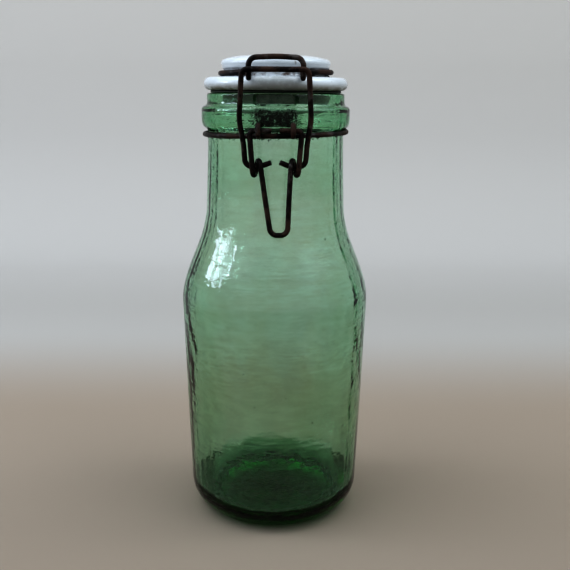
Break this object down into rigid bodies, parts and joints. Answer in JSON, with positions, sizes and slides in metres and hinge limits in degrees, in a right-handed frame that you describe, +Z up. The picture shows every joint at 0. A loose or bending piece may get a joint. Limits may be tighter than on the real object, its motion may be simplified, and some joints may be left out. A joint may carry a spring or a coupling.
{
  "type": "lidded glass canister",
  "caption": "Tall narrow-necked glass canister with a disc lid and seal, hinged at the back and closed by a wire bail and lever.",
  "frame": {"origin": "centre of the foot, on the surface the jar stands on", "axes": "+Z up along the jar's axis, -Y towards the front of the closure, +X to its right"},
  "size_m": [0.0948, 0.0948, 0.2337],
  "materials": {
    "green_glass": "clear moulded glass, slightly wavy",
    "white_glaze": "glossy white, slightly soiled",
    "aged_rubber": "matt, hardened",
    "rusty_wire": "dark brown oxidised steel wire"
  },
  "bodies": {
    "jar": {"glass_jar": "green_glass", "neck_wire": "rusty_wire"},
    "lid_assembly": {"lid": "white_glaze", "seal_ring": "aged_rubber", "lid_wire": "rusty_wire"},
    "lever": {"lever": "rusty_wire"},
    "bail": {"bail": "rusty_wire"}
  },
  "joints": [
    {"name": "lid_hinge", "type": "hinge", "parent": "jar", "child": "lid_assembly", "pos_m": [0, 0.0406, 0.206], "axis": [-1, 0, 0], "range_deg": [0, 110]},
    {"name": "lever_swing", "type": "hinge", "parent": "jar", "child": "lever", "pos_m": [0, -0.0399, 0.1988], "axis": [-1, 0, 0], "range_deg": [0, 150]},
    {"name": "bail_swing", "type": "hinge", "parent": "lever", "child": "bail", "pos_m": [0, -0.03725, 0.1825], "axis": [-1, 0, 0], "range_deg": [-300, 0]}
  ],
  "couplings": [
    {"joint": "bail_swing", "follows": "lever_swing", "ratio": -2}
  ]
}
